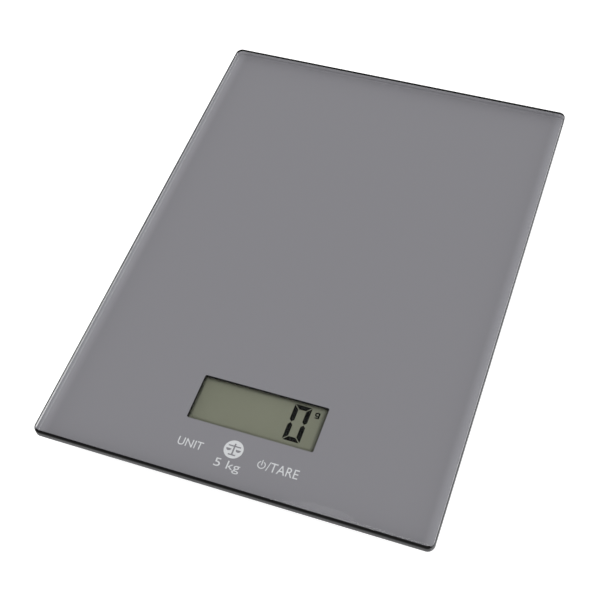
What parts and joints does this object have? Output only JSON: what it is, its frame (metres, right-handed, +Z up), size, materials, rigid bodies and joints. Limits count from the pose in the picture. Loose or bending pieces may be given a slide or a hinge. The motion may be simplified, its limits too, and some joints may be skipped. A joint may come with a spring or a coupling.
{
  "type": "kitchen scale",
  "caption": "Slim flat digital kitchen scale: a rounded rectangular glass platform with a display window at the front, on a shallow tray with load-cell feet and a hinged battery door.",
  "frame": {"origin": "on the table, under the middle of the glass platform's footprint", "axes": "+Z up; +Y from the display end, where the user stands, towards the far end; +X to the user's right"},
  "size_m": [0.16, 0.221, 0.016],
  "materials": {
    "platform_glass": "polished tempered glass with grey paint baked on its back",
    "black_foam": "matt closed-cell foam",
    "tray_abs": "fine spark texture",
    "label_film": "satin polyester film",
    "zinc_steel": "bright zinc plate",
    "plated_steel": "nickel plate over stamped steel",
    "white_silicone": "glossy cured silicone",
    "clamp_nylon": "moulded nylon",
    "foot_acetal": "moulded acetal",
    "foot_rubber": "soft matt rubber",
    "wire_cell": "PVC insulation in red, white and black",
    "coin_cell_steel": "bright nickel",
    "spring_steel": "nickel-plated phosphor bronze",
    "door_abs": "fine spark texture",
    "wire_black": "PVC insulation",
    "wire_red": "PVC insulation",
    "board_laminate": "green solder mask with tracks",
    "lcd_frame_plastic": "moulded plastic",
    "lcd_glass_clear": "polished",
    "lcd_reflector": "satin reflector behind glass",
    "zebra_rubber": "fine black layers in clear silicone",
    "touch_spring_steel": "tin-plated spring wire",
    "black_epoxy": "glossy epoxy",
    "chip_package": "moulded package with tinned leads",
    "crystal_can": "drawn nickel silver",
    "capacitor_ceramic": "fired ceramic with tinned ends",
    "resistor_black": "glass-coated film with tinned ends",
    "solder": "bright solder"
  },
  "bodies": {
    "scale_body": {"glass_platform": "platform_glass", "foam_tape": "black_foam", "base_tray": "tray_abs", "rating_label": "label_film", "clamp_screws": "zinc_steel", "load_cell_front_left": "plated_steel", "gauge_potting_front_left": "white_silicone", "load_cell_clamp_front_left": "clamp_nylon", "cell_wires_front_left": "wire_cell", "load_cell_front_right": "plated_steel", "gauge_potting_front_right": "white_silicone", "load_cell_clamp_front_right": "clamp_nylon", "cell_wires_front_right": "wire_cell", "load_cell_rear_left": "plated_steel", "gauge_potting_rear_left": "white_silicone", "load_cell_clamp_rear_left": "clamp_nylon", "cell_wires_rear_left": "wire_cell", "load_cell_rear_right": "plated_steel", "gauge_potting_rear_right": "white_silicone", "load_cell_clamp_rear_right": "clamp_nylon", "cell_wires_rear_right": "wire_cell", "coin_cell": "coin_cell_steel", "negative_contact": "spring_steel", "positive_contact": "spring_steel", "battery_wire_negative": "wire_black", "battery_wire_positive": "wire_red", "control_board": "board_laminate", "board_screws": "zinc_steel", "lcd_frame": "lcd_frame_plastic", "lcd_front_glass": "lcd_glass_clear", "lcd_rear_glass": "lcd_reflector", "lcd_gasket": "black_foam", "zebra_strip": "zebra_rubber", "touch_spring_unit": "touch_spring_steel", "touch_spring_tare": "touch_spring_steel", "controller_blob": "black_epoxy", "adc_chip": "chip_package", "crystal": "crystal_can", "board_capacitors": "capacitor_ceramic", "board_resistors": "resistor_black", "solder_joints": "solder"},
    "foot_front_left": {"foot_plunger_front_left": "foot_acetal", "foot_pad_front_left": "foot_rubber"},
    "foot_front_right": {"foot_plunger_front_right": "foot_acetal", "foot_pad_front_right": "foot_rubber"},
    "foot_rear_left": {"foot_plunger_rear_left": "foot_acetal", "foot_pad_rear_left": "foot_rubber"},
    "foot_rear_right": {"foot_plunger_rear_right": "foot_acetal", "foot_pad_rear_right": "foot_rubber"},
    "door": {"battery_door": "door_abs"}
  },
  "joints": [
    {"name": "foot_travel_front_left", "type": "slide", "parent": "scale_body", "child": "foot_front_left", "axis": [0, 0, 1], "range_m": [0, 0.0005], "stiffness_N_per_m": 12000, "deforming": ["load_cell_front_left"]},
    {"name": "foot_travel_front_right", "type": "slide", "parent": "scale_body", "child": "foot_front_right", "axis": [0, 0, 1], "range_m": [0, 0.0005], "stiffness_N_per_m": 12000, "deforming": ["load_cell_front_right"]},
    {"name": "foot_travel_rear_left", "type": "slide", "parent": "scale_body", "child": "foot_rear_left", "axis": [0, 0, 1], "range_m": [0, 0.0005], "stiffness_N_per_m": 12000, "deforming": ["load_cell_rear_left"]},
    {"name": "foot_travel_rear_right", "type": "slide", "parent": "scale_body", "child": "foot_rear_right", "axis": [0, 0, 1], "range_m": [0, 0.0005], "stiffness_N_per_m": 12000, "deforming": ["load_cell_rear_right"]},
    {"name": "door_hinge", "type": "hinge", "parent": "scale_body", "child": "door", "pos_m": [0, 0.052, 0.0036], "axis": [1, 0, 0], "range_deg": [0, 90]}
  ]
}
